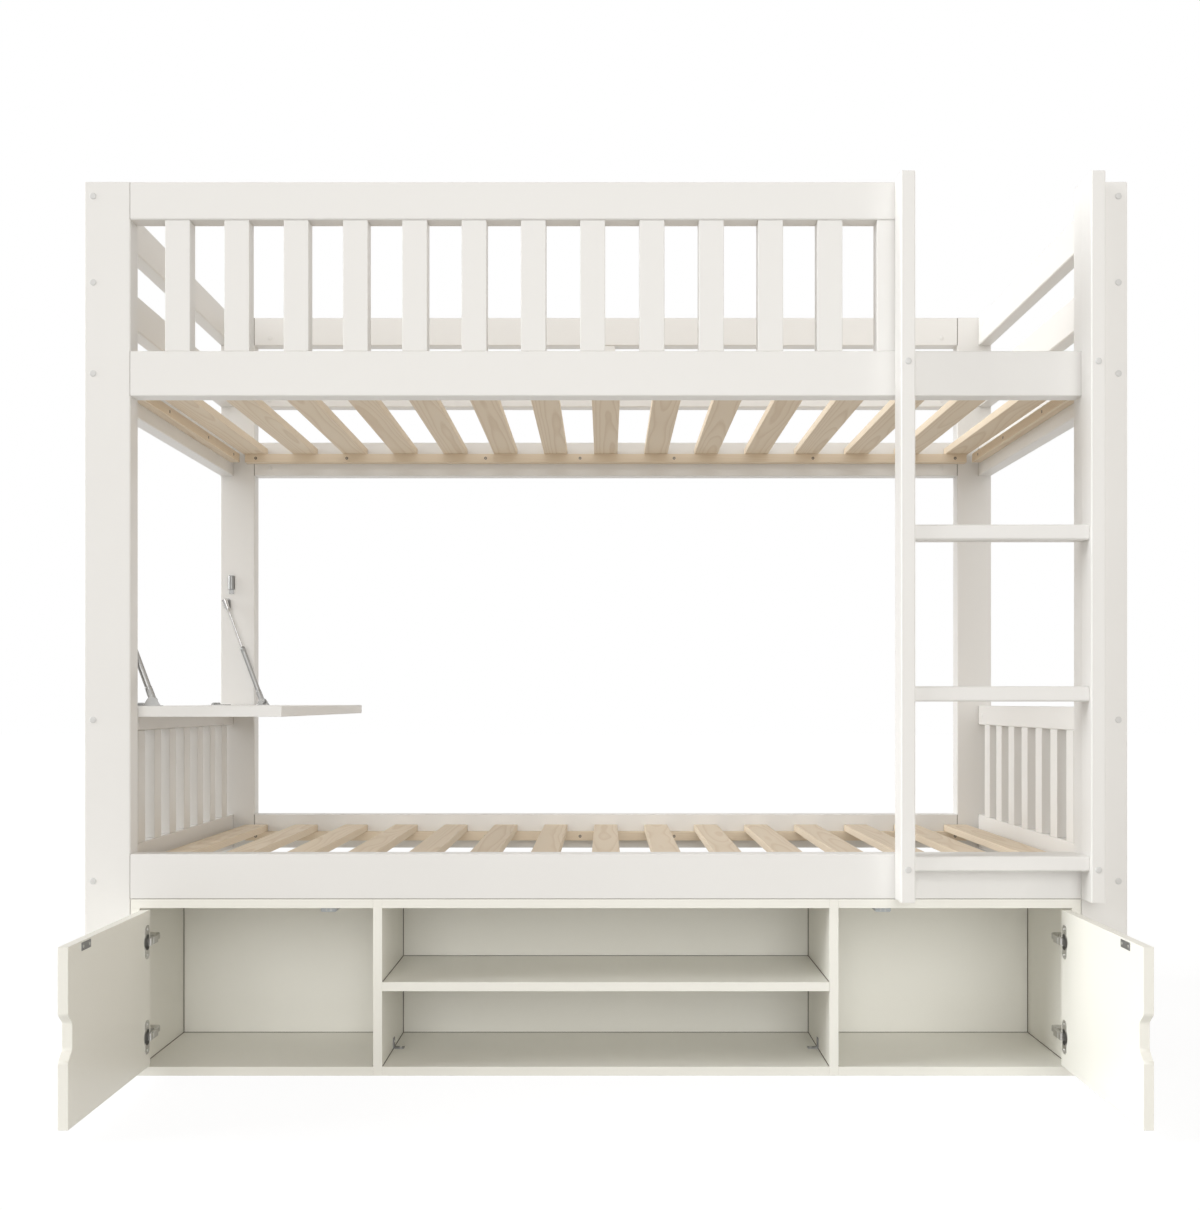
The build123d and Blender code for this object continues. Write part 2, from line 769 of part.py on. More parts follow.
def desk_ear():
    """The bent bracket on the desk: a foot, a tapered ear and the strut's pin."""
    ear_y = (strut_y + eye_r + stud_clear, strut_y + eye_r + stud_clear + ear_thick)
    half = ear_base / 2
    top = foot_z + ear_top / 2
    outline = [(foot_x - half, desk_top_z), (foot_x + half, desk_top_z)]
    outline += [(foot_x + ear_top / 2, top), (foot_x - ear_top / 2, top)]
    face = make_face(Polyline(*outline, close=True))
    face = chamfer(face.vertices().group_by(Axis.Y)[-1], ear_top / 4)
    place = Plane((0, front_y + ear_y[1], 0), x_dir=(1, 0, 0), z_dir=(0, -1, 0))
    ear = place * extrude(face, ear_thick)
    foot_y = (ear_y[1] - ear_foot_depth, ear_y[1])
    foot = slab((foot_x - half, foot_x + half), foot_y, (desk_top_z, desk_top_z + ear_thick / 2))
    pin = rod_y(foot_x, foot_z, (strut_y - eye_half_width - 1.0, ear_y[1]), eye_pin_r)
    return ear + foot + pin


def struts():
    tube = strut_tube()
    rod = strut_rod()
    save("strut_tube_back", tube)
    save("strut_tube_front", mirror_depth(tube))
    save("strut_rod_back", rod)
    save("strut_rod_front", mirror_depth(rod))
    stud = post_stud()
    save("strut_post_studs", stud, mirror_depth(stud))
    ear = desk_ear()
    save("strut_desk_brackets", ear, mirror_depth(ear))


def desk_catches():
    """Chrome roller catches on the posts, just behind the folded desk."""
    face = desk_axis_x + (desk_axis_z - desk_top_z)
    x1 = face - desk_catch_gap
    x = (x1 - desk_catch_width, x1)
    y = (front_depth - desk_catch_proud, front_depth)
    z = (desk_catch_z, desk_catch_z + desk_catch_height)
    plate = slab((x[0] + 3, x[1] - 3), (front_depth - 2.0, front_depth), z)
    middle = (x[0] + x[1]) / 2
    barrel_r = desk_catch_width / 2
    low = desk_catch_z + 12
    spot = Plane((middle, front_y + front_depth - desk_catch_proud + barrel_r, low), z_dir=(0, 0, 1))
    barrel = spot * prism(barrel_r, 0, desk_catch_height - 14)
    keep = slab(x, y, z)
    catch = plate + (barrel & keep)
    save("desk_catches", catch, mirror_depth(catch))


def fasteners():
    bolts = []
    bolts += [joint * bolt(end_reach) for joint in end_joints()]
    bolts += [joint * bolt(long_reach) for joint in long_joints()]
    bolts += [joint * bolt(ladder_reach) for joint in ladder_joints()]
    save("frame_bolts", *bolts)
    nuts = [joint * (Pos(0, 0, post_depth + nut_setback) * cross_nut()) for joint in end_joints()]
    nuts += [joint * (Pos(0, 0, post_width + nut_setback) * cross_nut()) for joint in long_joints()]
    save("cross_nuts", *nuts)
    joints = [*end_joints(), *long_joints(), *ladder_joints()]
    save("bolt_caps", *[joint * cap() for joint in joints])


os.makedirs("parts", exist_ok=True)
posts()
long_rails()
end_rails()
lower_panels()
front_guard()
back_guard()
for bed_level in ("upper", "lower"):
    ledgers(bed_level)
    slats(bed_level)
ladder()
cabinet()
doors()
hinge_links()
hinge_arms()
door_catches()
desk()
struts()
desk_catches()
fasteners()
print("front plane at y =", front_y, "strut length", strut_length)
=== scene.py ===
import math

import bmesh
import bpy
from mathutils import Matrix, Vector


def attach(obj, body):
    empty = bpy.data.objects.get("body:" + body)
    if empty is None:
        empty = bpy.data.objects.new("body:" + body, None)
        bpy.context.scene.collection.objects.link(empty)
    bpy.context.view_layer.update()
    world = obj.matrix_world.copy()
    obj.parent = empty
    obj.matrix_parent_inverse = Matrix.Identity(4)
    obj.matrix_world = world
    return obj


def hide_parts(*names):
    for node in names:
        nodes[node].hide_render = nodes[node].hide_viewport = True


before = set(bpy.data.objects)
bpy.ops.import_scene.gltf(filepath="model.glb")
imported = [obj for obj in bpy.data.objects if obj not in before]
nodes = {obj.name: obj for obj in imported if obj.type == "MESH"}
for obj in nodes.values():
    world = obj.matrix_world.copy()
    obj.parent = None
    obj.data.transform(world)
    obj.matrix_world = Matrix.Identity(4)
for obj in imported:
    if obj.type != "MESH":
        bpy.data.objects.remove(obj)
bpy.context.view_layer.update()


# Posts: four solid pine posts, 92 by 50 mm, sanded, primed and sprayed in off-white satin lacquer.
# Their long edges are eased, and the lacquer leaves a fine orange peel over a trace of the grain.
class Socket:
    """A shader socket, so that maths on sockets reads as maths."""

    def __init__(self, finish, link):
        self.finish = finish
        self.link = link

    def maths(self, operation, *terms):
        """Without terms, the operation is on the socket itself."""
        inputs = dict(enumerate(terms or (self,)))
        return self.finish.node("ShaderNodeMath", {"operation": operation}, inputs)

    def __add__(self, other):
        return self.maths("ADD", self, other)

    def __radd__(self, other):
        return self.maths("ADD", other, self)

    def __sub__(self, other):
        return self.maths("SUBTRACT", self, other)

    def __mul__(self, other):
        return self.maths("MULTIPLY", self, other)

    def __truediv__(self, other):
        return self.maths("DIVIDE", self, other)

    def __gt__(self, other):
        return self.maths("GREATER_THAN", self, other)


class Finish:
    """A material with its principled shader."""

    def __init__(self, name):
        self.material = bpy.data.materials.new(name)
        self.material.use_nodes = True
        self.tree = self.material.node_tree
        self.place = self.node("ShaderNodeTexCoord", {}, {}, "Object")

    def node(self, kind, settings, inputs, output=0):
        """Adds any node. The setting called stops fills a colour ramp."""
        made = self.tree.nodes.new(kind)
        for key, value in settings.items():
            if key == "stops":
                stops = made.color_ramp.elements
                stops[0].position, stops[0].color = value[0]
                stops[1].position, stops[1].color = value[-1]
                for position, colour in value[1:-1]:
                    stops.new(position).color = colour
            else:
                setattr(made, key, value)
        for key, value in inputs.items():
            self.put(made.inputs[key], value)
        return Socket(self, made.outputs[output])

    def put(self, socket, value):
        if isinstance(value, Socket):
            self.tree.links.new(value.link, socket)
        else:
            socket.default_value = value

    def surface(self, inputs):
        for key, value in inputs.items():
            self.put(self.tree.nodes["Principled BSDF"].inputs[key], value)
        return self.material


def noise(finish, vector, scale, detail):
    """Soft noise with about this many spots to a metre."""
    inputs = {"Vector": vector, "Scale": scale, "Detail": detail}
    return finish.node("ShaderNodeTexNoise", {}, inputs)


def drawn_out(finish, factors):
    """The place with each direction scaled, so that noise on it runs in lines."""
    inputs = {0: finish.place, 1: factors}
    return finish.node("ShaderNodeVectorMath", {"operation": "MULTIPLY"}, inputs)


def blend(finish, factor, first, second):
    """A colour between two. Inputs 6 and 7 and output 2 are the node's sockets for colours."""
    inputs = {0: factor, 6: first, 7: second}
    return finish.node("ShaderNodeMix", {"data_type": "RGBA"}, inputs, 2)


def relief(finish, height, strength, depth):
    inputs = {"Strength": strength, "Distance": depth, "Height": height}
    return finish.node("ShaderNodeBump", {}, inputs)


def lacquer(name, grain, bounce_warmth=0.0):
    """Off-white lacquer; grain has a small factor for the direction that the wood runs in. The
    last factor warms and lightens the colour, painting in warm bounce light.
    """
    finish = Finish(name)
    fibre = noise(finish, drawn_out(finish, grain), 420.0, 3.0)
    peel = noise(finish, finish.place, 650.0, 1.0)
    haze = noise(finish, finish.place, 3.0, 2.0)
    # A higher last factor makes the colour lighter and yellower: painted warm bounce light.
    light, yellow = 1 + 0.12 * bounce_warmth, 1 - 0.08 * bounce_warmth
    dim, bright = (
        (red * light, green * light, blue * light * yellow, 1)
        for red, green, blue in ((0.780, 0.766, 0.744), (0.815, 0.804, 0.786))
    )
    return finish.surface({
        "Base Color": blend(finish, haze, dim, bright),
        "Roughness": 0.33 + haze * 0.12 + peel * 0.06,
        "Specular IOR Level": 0.45,
        "Normal": relief(finish, fibre * 0.55 + peel * 0.45, 0.25, 0.00025),
    })


def dress(names, material, ease=0):
    """Gives the pieces their finish and softens their edges as sanding does."""
    for name in names:
        piece = nodes[name]
        piece.data.materials.clear()
        piece.data.materials.append(material)
        if ease:
            piece.modifiers.new("joined", "WELD").merge_threshold = 0.00001
            flat = piece.modifiers.new("flat", "DECIMATE")
            flat.decimate_type = "DISSOLVE"
            flat.angle_limit = math.radians(1)
            edge = piece.modifiers.new("sanded", "BEVEL")
            edge.width = ease
            edge.segments = 2
            edge.angle_limit = math.radians(25)
            edge.harden_normals = True


upright_paint = lacquer("lacquer_upright_grain", (1, 1, 0.03))
lengthwise_paint = lacquer("lacquer_lengthwise_grain", (0.03, 1, 1))
crosswise_paint = lacquer("lacquer_crosswise_grain", (1, 0.03, 1))
eased = 0.0007
corners = ("front_left", "front_right", "back_left", "back_right")
dress([f"post_{corner}" for corner in corners], upright_paint, eased)


# Bed rails: planks 90 mm high on edge, round both beds, of the same lacquered pine.
# Each butts against the posts and is drawn up by bolts that run through the posts.
for level in ("lower", "upper"):
    dress([f"{level}_rail_front", f"{level}_rail_back"], lengthwise_paint, eased)
    dress([f"{level}_end_rail_left", f"{level}_end_rail_right"], crosswise_paint, eased)


# Guards of the upper bed and end panels of the lower one: lacquered rails with upright bars
# between them, the bars set into the rails with dowels, so only a fine line shows at each joint.
dress(["guard_top_rail_front", "guard_rails_back"], lengthwise_paint, eased)
dress(["end_guard_rails_left", "end_guard_rails_right"], crosswise_paint, eased)
dress(["end_panel_top_rails"], crosswise_paint, eased)
bars = ["guard_slats_front", "guard_uprights_back", "end_panel_bars_left", "end_panel_bars_right"]
dress(bars, upright_paint, ease=0.0016)


# Slats: fifteen boards of bare planed pine, 62 by 18 mm, under each mattress.
# Every board is sawn from another part of the log, so its rings and its tone are its own.
slat_reach, slat_gaps, slat_middle = 0.942, 14, 0.397
slat_pitch = slat_reach * 2 / slat_gaps
bed_rise, between_beds = 1.013, 1.0


def pine(across, along, up, tone):
    """Bare pine: rings about a pith below the board and fibres along it. Sockets are in metres."""
    finish = across.finish
    pith_depth, ring_width = 0.05, 0.0036
    places = {0: across * 2.0, 1: along * 0.45, 2: up * 2.0}
    steady = finish.node("ShaderNodeCombineXYZ", {}, places)
    drift = noise(finish, steady, 2.4, 2.0)
    aside = across + (drift - 0.5) * 0.045
    below = up + pith_depth + (drift - 0.5) * 0.030
    radius = (aside * aside + below * below).maths("SQRT")
    wander = noise(finish, steady, 6.0, 2.0)
    year = (radius / ring_width + wander * 0.9).maths("FRACT")
    stops = [(0.0, (0.790, 0.675, 0.530, 1)), (0.55, (0.775, 0.655, 0.505, 1))]
    stops += [(0.86, (0.665, 0.525, 0.375, 1)), (1.0, (0.783, 0.665, 0.518, 1))]
    ring = finish.node("ShaderNodeValToRGB", {"stops": stops}, {0: year})
    lines = finish.node("ShaderNodeCombineXYZ", {}, {0: across, 1: along * 0.02, 2: up})
    fibre = noise(finish, lines, 1500.0, 3.0)
    fibred = blend(finish, fibre * 0.5, ring, (0.850, 0.765, 0.640, 1))
    return finish.surface({
        "Base Color": blend(finish, tone, fibred, (0.740, 0.600, 0.435, 1)),
        "Roughness": 0.56 + fibre * 0.16,
        "Normal": relief(finish, fibre * 0.7 + year * 0.3, 0.4, 0.0003),
    })


def apart(finish):
    """The place as three sockets: X, Y and Z."""
    return (finish.node("ShaderNodeSeparateXYZ", {}, {0: finish.place}, axis) for axis in range(3))


def slat_pine():
    finish = Finish("pine_slats")
    x, y, z = apart(finish)
    number = ((x + slat_reach) / slat_pitch).maths("ROUND")
    upper = z > between_beds
    seed = {"W": number + upper * 40.0}
    chance = finish.node("ShaderNodeTexWhiteNoise", {"noise_dimensions": "1D"}, seed)
    across = x + slat_reach - number * slat_pitch + (chance - 0.5) * 0.05
    height = z - slat_middle - upper * bed_rise + chance * 0.05
    return pine(across, y + chance * 37.0, height, chance * 0.22)


dress(["upper_slats", "lower_slats"], slat_pine(), ease=0.0018)


# Ledgers: battens of bare pine, 23 by 28 mm, glued and screwed to the inner faces of the rails.
# The slats lie on them, and one countersunk screw to every other slat shows as a small dark dot.
end_ledger_face = 0.981


def ledger_pine():
    finish = Finish("pine_ledgers")
    x, y, z = apart(finish)
    at_end = x.maths("ABSOLUTE") > end_ledger_face
    along = x + at_end * (y - x)
    across = y + at_end * (x - y)
    across = across - (across * 10.0).maths("ROUND") / 10.0
    return pine(across, along + z * 9.0, z - 0.38 - (z > between_beds) * 1.01, 0.18)


dress(["upper_ledgers", "lower_ledgers"], ledger_pine(), ease=0.0006)


def metal(name, colour, rough, brushed):
    """Worked metal: brushed is the factor for each direction of its fine lines."""
    finish = Finish(name)
    lines = noise(finish, drawn_out(finish, brushed), 2500.0, 2.0)
    dull = noise(finish, finish.place, 130.0, 3.0)
    darker = tuple(c * 0.82 for c in colour)
    return finish.surface({
        "Base Color": blend(finish, dull, (*darker, 1), (*colour, 1)),
        "Metallic": 1.0,
        "Roughness": rough + dull * 0.10 + lines * 0.05,
        "Normal": relief(finish, lines, 0.15, 0.00008),
    })


zinc = metal("zinc_plated_steel", (0.56, 0.55, 0.52), 0.30, (1, 1, 1))
dress(["frame_bolts", "cross_nuts"], zinc)


def turned(mesh, spot, profile, sides=32):
    """Adds a lathe-turned form: profile is (radius, height) pairs along the spot's Z."""
    rings = []
    for radius, height in profile:
        angles = [math.tau * i / sides for i in range(sides)] if radius else [0.0]
        points = [(radius * math.cos(a), radius * math.sin(a), height) for a in angles]
        rings.append([mesh.verts.new(spot @ Vector(point)) for point in points])
    for low, high in zip(rings, rings[1:]):
        for i in range(sides):
            near, far = i % len(low), (i + 1) % len(low)
            near_high, far_high = i % len(high), (i + 1) % len(high)
            loop = list(dict.fromkeys([low[near], low[far], high[far_high], high[near_high]]))
            if len(loop) > 2:
                mesh.faces.new(loop)
    return rings


def cross_head(mesh, spot, radius, proud):
    """Adds a screw's head with a cross recess. It stands proud of the spot's Z = 0."""
    profile = [(radius, 0), (radius * 0.96, proud * 0.5), (radius * 0.78, proud)]
    rim = turned(mesh, spot, profile, sides=24)[-1]
    arm, half, depth = radius * 0.58, radius * 0.13, radius * 0.5
    quarter = [(half, half), (half, arm), (-half, arm)]
    cross = []
    for turn in range(4):
        c, s = round(math.cos(turn * math.pi / 2)), round(math.sin(turn * math.pi / 2))
        cross += [(x * c - y * s, x * s + y * c) for x, y in quarter]
    lip = [mesh.verts.new(spot @ Vector((x, y, proud))) for x, y in cross]
    low = [(x * 0.75, y * 0.75, proud - depth) for x, y in cross]
    floor = [mesh.verts.new(spot @ Vector(point)) for point in low]
    edges = []
    for loop in (rim, lip):
        for a, b in zip(loop, loop[1:] + loop[:1]):
            edges.append(mesh.edges.get((a, b)) or mesh.edges.new((a, b)))
    bmesh.ops.triangle_fill(mesh, use_beauty=True, edges=edges)
    for i in range(len(lip)):
        following = (i + 1) % len(lip)
        mesh.faces.new([lip[i], lip[following], floor[following], floor[i]])
    mesh.faces.new(floor)


def piece(name, mesh, material, body, slot, smooth=40):
    """Turns the mesh into a piece of the object that rides on a body."""
    bmesh.ops.recalc_face_normals(mesh, faces=mesh.faces)
    data = bpy.data.meshes.new(name)
    mesh.to_mesh(data)
    mesh.free()
    data.materials.append(material)
    made = bpy.data.objects.new(name, data)
    bpy.context.scene.collection.objects.link(made)
    data.shade_smooth()
    data.set_sharp_from_angle(angle=math.radians(smooth))
    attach(made, body)
    return made


def facing(point, direction):
    """The place at a point whose Z looks along a direction."""
    turn = Vector(direction).to_track_quat("Z", "Y").to_matrix().to_4x4()
    return Matrix.Translation(point) @ turn


# front is the front of the front posts, and bed_back the face of the back ones toward the bed.
front, bed_back = -0.32575, 0.73125
dark_zinc = metal("dark_screws", (0.20, 0.18, 0.16), 0.42, (1, 1, 1))
head_radius, head_proud = 0.0038, 0.0004
ledger_screws = bmesh.new()
for level in (0.3855, 1.3985):
    for x in (-0.938, -0.694, -0.322, -0.069, 0.183, 0.555, 0.936):
        for y, look in ((bed_back - 0.028, -1), (front + 0.073, 1)):
            spot = facing((x, y, level), (0, look, 0))
            cross_head(ledger_screws, spot, head_radius, head_proud)
    for y in (-0.19, 0.06, 0.39, 0.64):
        for side in (-1, 1):
            spot = facing((side * end_ledger_face, y, level), (-side, 0, 0))
            cross_head(ledger_screws, spot, head_radius, head_proud)
piece("ledger_screw_heads", ledger_screws, dark_zinc, "frame", "zinc_steel")


# Joint lines: hair-thin dark strips stand in the joints as painted shade, for the shadow in the
# small grooves where eased edges meet.
# The strips lie between the posts and the rails, and under the lower front rail.
def seam(mesh, low, high):
    """Adds a slim block between two corners."""
    block = bmesh.ops.create_cube(mesh, size=1.0)["verts"]
    low, high = Vector(low), Vector(high)
    place = Matrix.Translation((low + high) / 2) @ Matrix.Diagonal((*(high - low), 1))
    bmesh.ops.transform(mesh, matrix=place, verts=block)


def moulded(name, colour, rough):
    finish = Finish(name)
    spark = noise(finish, finish.place, 1800.0, 2.0)
    darker = tuple(c * 0.93 for c in colour)
    return finish.surface({
        "Base Color": blend(finish, spark, (*darker, 1), (*colour, 1)),
        "Roughness": rough + spark * 0.1,
        "Normal": relief(finish, spark, 0.3, 0.0001),
    })


# A near-black brown that paints the shade in the joints.
joint_shade_paint = moulded("painted_joint_shade", (0.16, 0.135, 0.11), 0.75)
lower_rail, upper_rail, panel_top = (0.352, 0.442), (1.355, 1.445), (0.684, 0.735)
guard_middle, guard_top = (1.541, 1.616), (1.707, 1.782)
post_depth, seam_end, seam_depth = 0.050, 0.001, 0.004
rail_seam_shade = bmesh.new()
for side in (-1, 1):
    x0, x1 = sorted((side * 0.9474, side * 0.9486))
    for z0, z1 in (lower_rail, upper_rail) + ((guard_top,) if side < 0 else ()):
        low = (x0, front + 0.0006, z0 + seam_end)
        high = (x1, front + seam_depth, z1 - seam_end)
        seam(rail_seam_shade, low, high)
    for z0, z1 in (lower_rail, upper_rail, guard_middle, guard_top):
        low = (x0, bed_back - 0.00005, z0 + seam_end)
        high = (x1, bed_back + seam_depth, z1 - seam_end)
        seam(rail_seam_shade, low, high)
    x0, x1 = sorted((side * 1.0049, side * 1.009))
    for z0, z1 in (lower_rail, panel_top, upper_rail, guard_middle, guard_top):
        for y in (front + post_depth, bed_back):
            seam(rail_seam_shade, (x0, y - 0.0007, z0 + seam_end), (x1, y + 0.0007, z1 - seam_end))
seam(rail_seam_shade, (-0.946, front + 0.0008, 0.3514), (0.946, front + 0.010, 0.3526))
piece("rail_seam_shade", rail_seam_shade, joint_shade_paint, "frame", "white_paint")


# Ladder: two upright stiles with three deep rungs between them, all lacquered pine.
# A bolt through each end of a stile holds it to the front of the bed rails.
dress(["ladder_stile_left", "ladder_stile_right"], upright_paint, ease=0.0008)
dress(["ladder_rungs"], lengthwise_paint, ease=0.0012)


# Cabinet: 18 mm lacquered boards, joined flush with dowels, and a thin panel at the back.
# It stands on the floor and carries the middle of the lower bed.
# The boards and doors take a lighter, yellower copy of the lacquer: painted warm bounce light, as
# inside the cabinet.
warmed_board_paint = lacquer("lacquer_warmed_by_bounce", (1, 1, 1), 0.6)
boards = ["cabinet_sides", "cabinet_divider_left", "cabinet_divider_right", "cabinet_top_panels"]
boards += ["cabinet_bottom_panels", "cabinet_shelf", "cabinet_back"]
dress(boards, warmed_board_paint, ease=0.0006)


# Cabinet seams: the thin back sits in a groove, and dark strips round each bay paint the shadow in
# that gap.
# Fine dark strips where board meets board on the front edges are painted shade as well.
board_seam_shade = bmesh.new()
rear, gap_depth = front + 0.312, 0.0016
z_floor, z_shelf, z_roof, z_top = 0.018, 0.1865, 0.334, 0.352
side_face, divider_outer, divider_inner = 0.929, 0.464, 0.446
bays = (
    (-side_face, -divider_outer, (z_floor,)),
    (-divider_inner, divider_inner, (z_floor, z_shelf)),
    (divider_outer, side_face, (z_floor,)),
)
for x0, x1, floors in bays:
    for z in floors:
        seam(board_seam_shade, (x0, rear - gap_depth, z), (x1, rear, z + 0.0010))
    for x, inward in ((x0, 1), (x1, -1)):
        near, far = sorted((x, x + inward * 0.0014))
        seam(board_seam_shade, (near, rear - gap_depth, z_floor), (far, rear, z_roof))
        for z in floors:
            seam(board_seam_shade, (near, front + seam_depth, z), (far, rear, z + 0.0008))
for x in (-divider_outer, -divider_inner, divider_inner, divider_outer):
    for z0, z1 in ((0.0, z_floor), (z_roof, z_top)):
        low = (x - 0.0005, front + 0.0005, z0 + seam_end)
        high = (x + 0.0005, front + seam_depth, z1 - seam_end)
        seam(board_seam_shade, low, high)
piece("cabinet_seam_shade", board_seam_shade, joint_shade_paint, "frame", "white_paint")


# Corner angles: two bent steel angles that tie the dividers to the bottom panel,
# each with a pan-head screw into either board.
angle_steel = metal("blued_steel", (0.30, 0.30, 0.31), 0.34, (1, 0.1, 1))
dress(["cabinet_corner_brackets"], angle_steel)
angle_y, pan_radius, pan_proud = front + 0.1635, 0.0034, 0.0016
angle_screws = bmesh.new()
for side in (-1, 1):
    on_floor = facing((side * 0.431, angle_y, 0.020), (0, 0, 1))
    on_divider = facing((side * 0.444, angle_y, 0.032), (-side, 0, 0))
    cross_head(angle_screws, on_floor, pan_radius, pan_proud)
    cross_head(angle_screws, on_divider, pan_radius, pan_proud)
piece("corner_angle_screws", angle_screws, zinc, "frame", "dark_steel")


# Doors: lacquered boards with a finger notch milled into the free edge.
# A steel strike for the magnet is screwed inside, near the top of the free edge.
hands = (("left", -1), ("right", 1))
dress(["door_left", "door_right"], warmed_board_paint, ease=0.0009)
strike_steel = metal("strike_steel", (0.34, 0.34, 0.35), 0.36, (1, 0.05, 1))
dress(["door_strike_left", "door_strike_right"], strike_steel)
for name, side in hands:
    strike_screws = bmesh.new()
    for y in (-0.7115, -0.6800):
        spot = facing((side * 0.9068, y, 0.321), (-side, 0, 0))
        cross_head(strike_screws, spot, radius=0.0030, proud=0.0008)
    piece(f"strike_screws_{name}", strike_screws, zinc, f"{name}_door", "nickel_steel")


# Cup hinges: pressed and nickel-plated steel, two to a door, each with its cup sunk in the door
# and its arm clipped to a winged plate on the cabinet's side. Cross-head screws hold and adjust
# them, and the pins that their links turn on end in small domes.
nickel = metal("nickel_plate", (0.56, 0.55, 0.53), 0.22, (1, 1, 0.05))
dress(["hinge_cups_left", "hinge_cups_right", "hinge_arms"], nickel)
dress(["hinge_links_left", "hinge_links_right"], nickel)
flange_face, wing_face, arm_face, pin_x = 0.9065, 0.927, 0.9064, 0.9035
pin_end = [(0.0022, 0), (0.0022, 0.0008), (0.0014, 0.0014), (0, 0.0014)]
for name, side in hands:
    inward = (-side, 0, 0)
    cup_screws, plate_screws, pivots = bmesh.new(), bmesh.new(), bmesh.new()
    for middle in (0.082, 0.270):
        for rise in (-0.0255, 0.0255):
            spot = facing((side * flange_face, front - 0.022, middle + rise), inward)
            cross_head(cup_screws, spot, radius=0.0036, proud=0.0012)
        for rise in (-0.0175, 0.0175):
            spot = facing((side * wing_face, front + 0.0435, middle + rise), inward)
            cross_head(plate_screws, spot, radius=0.0036, proud=0.0014)
        for reach in (0.036, 0.051):
            spot = facing((side * arm_face, front + reach, middle), inward)
            cross_head(plate_screws, spot, radius=0.0040, proud=0.0003)
        for end in (-1, 1):
            spot = facing((side * pin_x, front - 0.0075, middle + end * 0.007), (0, 0, end))
            turned(pivots, spot, pin_end, sides=20)
    piece(f"cup_screws_{name}", cup_screws, nickel, f"{name}_door", "nickel_steel")
    piece(f"hinge_plate_screws_{name}", plate_screws, zinc, "frame", "nickel_steel")
    piece(f"hinge_pivots_{name}", pivots, zinc, f"{name}_door", "nickel_steel")


# Door catches: grey moulded bodies under the top panels, each with a magnet
# between two steel pole plates that look at the closed door.
dress(["door_catches"], moulded("catch_plastic", (0.42, 0.44, 0.46), 0.38))
catch_x, blade_size = 0.556, Matrix.Diagonal((0.0016, 0.0006, 0.0070, 1))
poles = bmesh.new()
for side in (-1, 1):
    for aside in (-0.0045, 0.0045):
        blade = bmesh.ops.create_cube(poles, size=1.0)["verts"]
        place = Matrix.Translation((side * catch_x + aside, front + 0.0196, 0.329))
        bmesh.ops.transform(poles, matrix=place @ blade_size, verts=blade)
piece("catch_pole_plates", poles, zinc, "frame", "catch_plastic")


# Desk: a lacquered board that folds up between the left posts, with its free edge rounded.
# Two butt hinges of satin steel join it to the panel's top rail, with three screws in each leaf.
dress(["desk_panel"], crosswise_paint, ease=0.0008)
satin = metal("satin_steel", (0.33, 0.325, 0.315), 0.30, (1, 0.05, 1))
dress(["desk_hinge_fixed_leaves", "desk_hinge_moving_leaves"], satin)
fixed_x, moving_x, leaf_head, leaf_proud = -1.0215, -0.9850, 0.0030, 0.0005
fixed_screws, moving_screws = bmesh.new(), bmesh.new()
for middle in (-0.09225, 0.54775):
    for along in (-0.022, 0.0, 0.022):
        on_rail = facing((fixed_x, middle + along, 0.7370), (0, 0, 1))
        on_desk = facing((moving_x, middle + along, 0.7390), (0, 0, 1))
        cross_head(fixed_screws, on_rail, leaf_head, leaf_proud)
        cross_head(moving_screws, on_desk, leaf_head, leaf_proud)
piece("fixed_leaf_screws", fixed_screws, zinc, "frame", "satin_steel")
piece("moving_leaf_screws", moving_screws, zinc, "desk", "satin_steel")


# Gas struts: a satin tube with a crimped gland, a polished rod with a chromed ball socket,
# a bent bracket screwed to the desk and a stud plate screwed to the post.
chrome = metal("chrome_plate", (0.47, 0.46, 0.45), 0.16, (1, 1, 1))
rubber = moulded("black_rubber", (0.030, 0.030, 0.032), 0.55)
dress(["strut_rod_back", "strut_rod_front"], chrome)
dress(["strut_tube_back", "strut_tube_front", "strut_desk_brackets", "strut_post_studs"], satin)
for name in ("strut_rod_back", "strut_rod_front", "strut_tube_back", "strut_tube_front"):
    nodes[name].data.shade_smooth()
    nodes[name].data.set_sharp_from_angle(angle=math.radians(35))
foot, pivot = Vector((-0.923, 0, 0.748)), Vector((-1.020, 0, 1.010))
strut = pivot - foot
crimp = [(0.0066, 0.1405), (0.0069, 0.1415), (0.0069, 0.1425), (0.0062, 0.1435), (0.0069, 0.1445)]
crimp += [(0.0069, 0.1515), (0.0060, 0.1530), (0.0036, 0.1530)]
lip = [(0.0036, 0.1530), (0.0046, 0.1531), (0.0042, 0.1546), (0.0032, 0.1550)]
band = [(0.0066, 0.0235), (0.0071, 0.0240), (0.0071, 0.0290), (0.0066, 0.0300)]
top = strut.length - 0.0170
hexagon = [(0.0032, top - 0.007), (0.0052, top - 0.0066), (0.0056, top - 0.0006), (0.0056, top)]
collars = (("gland", crimp, satin), ("wiper", lip, rubber), ("end_ring", band, satin))
bracket_screws, stud_screws = bmesh.new(), bmesh.new()
